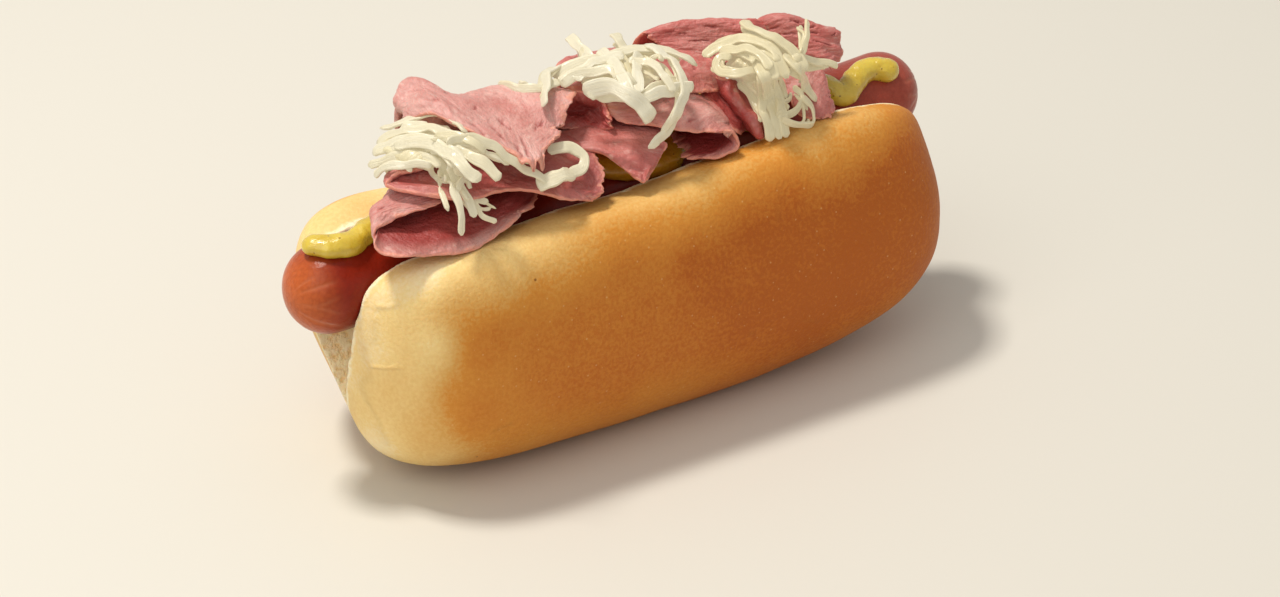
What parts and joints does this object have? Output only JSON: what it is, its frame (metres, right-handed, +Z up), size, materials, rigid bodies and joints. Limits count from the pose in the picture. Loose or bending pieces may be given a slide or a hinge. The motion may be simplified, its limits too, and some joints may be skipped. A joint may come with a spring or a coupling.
{
  "type": "hot dog",
  "caption": "Dressed hot dog: a frankfurter in a top-split soft roll with a wavy line of mustard, folded slices of corned beef and tufts of sauerkraut.",
  "frame": {"origin": "on the surface that the roll rests on, under the middle of the frankfurter's length", "axes": "+X along the hot dog towards the end with the higher roll, -Y the front with the kraut hanging over it, +Z up"},
  "size_m": [0.18, 0.069, 0.0897],
  "materials": {
    "roll": "matte baked crust, golden, paler along the crests and browner low on the sides",
    "sausage": "smooth taut skin with a soft shine",
    "mustard": "wet and glossy, with small brown seed specks",
    "corned_beef": "moist fibrous cut face, rosy, with pale ragged edges",
    "sauerkraut": "wet, slightly translucent ivory shreds"
  },
  "bodies": {
    "root": {"bun": "roll", "frankfurter": "sausage", "mustard": "mustard", "beef_front_left": "corned_beef", "beef_left": "corned_beef", "beef_top_left": "corned_beef", "beef_top_fold": "corned_beef", "beef_tongue": "corned_beef", "beef_middle": "corned_beef", "beef_crown": "corned_beef", "beef_pleated": "corned_beef", "beef_front_right": "corned_beef", "beef_back": "corned_beef", "beef_back_right": "corned_beef", "kraut_left": "sauerkraut", "kraut_middle": "sauerkraut", "kraut_right": "sauerkraut"}
  },
  "joints": []
}
